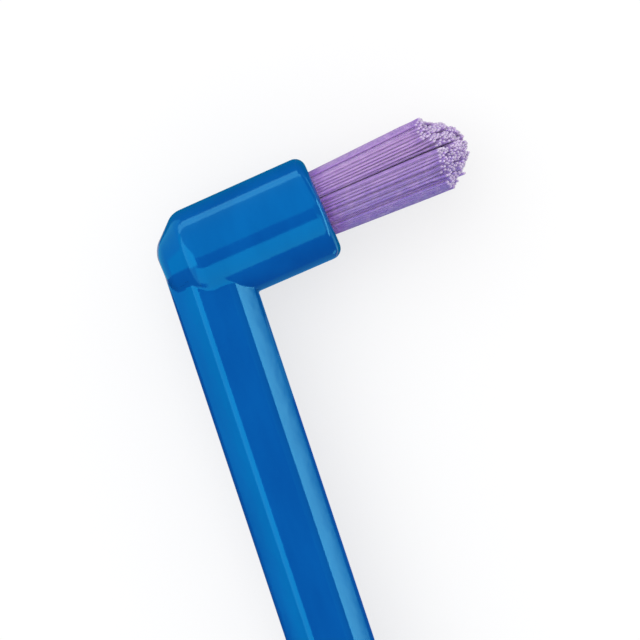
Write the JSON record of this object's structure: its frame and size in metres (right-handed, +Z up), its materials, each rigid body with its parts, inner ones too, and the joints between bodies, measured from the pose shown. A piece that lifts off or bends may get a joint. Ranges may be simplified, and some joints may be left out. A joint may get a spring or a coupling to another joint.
{
  "type": "single tuft toothbrush",
  "caption": "Toothbrush for narrow spots, with a slim octagonal handle, a short round head set across its end, and a round, dome-tipped tuft.",
  "frame": {"origin": "on the side flat that the grip lies on, halfway along the grip", "axes": "+X along the handle from the butt to the head, +Z up, and the tuft points along -Y with a small lean to +X"},
  "size_m": [0.176, 0.0215, 0.01],
  "materials": {
    "handle_plastic": "polished, clear blue moulded plastic",
    "anchor_metal": "flat nickel silver strip, cut ends",
    "filament_nylon": "lilac nylon filaments with rounded pale tips"
  },
  "bodies": {
    "root": {"handle": "handle_plastic", "anchor": "anchor_metal", "inner_filaments": "filament_nylon", "middle_filaments": "filament_nylon", "outer_filaments": "filament_nylon"}
  },
  "joints": []
}
